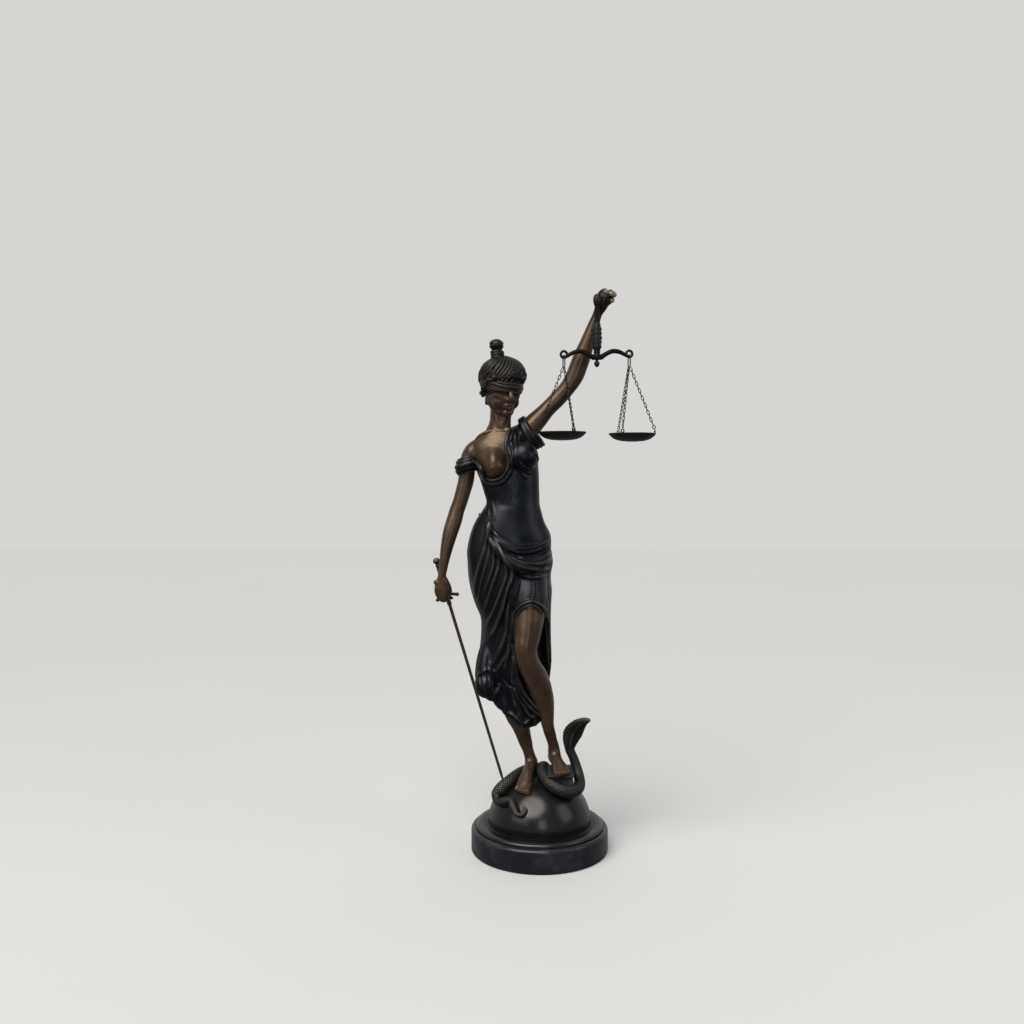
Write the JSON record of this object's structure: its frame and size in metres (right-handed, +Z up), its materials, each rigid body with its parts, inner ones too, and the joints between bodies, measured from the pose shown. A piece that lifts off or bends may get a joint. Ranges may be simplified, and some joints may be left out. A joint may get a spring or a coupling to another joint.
{
  "type": "lady justice statue",
  "caption": "Cast bronze statue of blindfolded Justice with a hanging balance and a lowered sword, standing on a globe with a snake and book, on a round marble plinth.",
  "frame": {"origin": "middle of the marble plinth's flat underside", "axes": "+Z up, -Y towards the viewer in front of the statue, +X to the viewer's right"},
  "size_m": [0.3615, 0.224, 0.9123],
  "materials": {
    "bronze": "dark brown patina, waxed",
    "bronze_base": "dark patina, waxed",
    "aged_brass": "dull aged brass",
    "dark_iron": "blackened bronze",
    "marble": "polished black stone"
  },
  "bodies": {
    "root": {"marble_plinth": "marble", "globe_base": "bronze_base", "figure": "bronze", "sword": "aged_brass", "scale_beam": "dark_iron", "hanger_left": "dark_iron", "hanger_right": "dark_iron", "scale_pan_left": "dark_iron", "scale_pan_right": "dark_iron", "chain_left_1": "dark_iron", "chain_left_2": "dark_iron", "chain_left_3": "dark_iron", "chain_right_1": "dark_iron", "chain_right_2": "dark_iron", "chain_right_3": "dark_iron"}
  },
  "joints": []
}
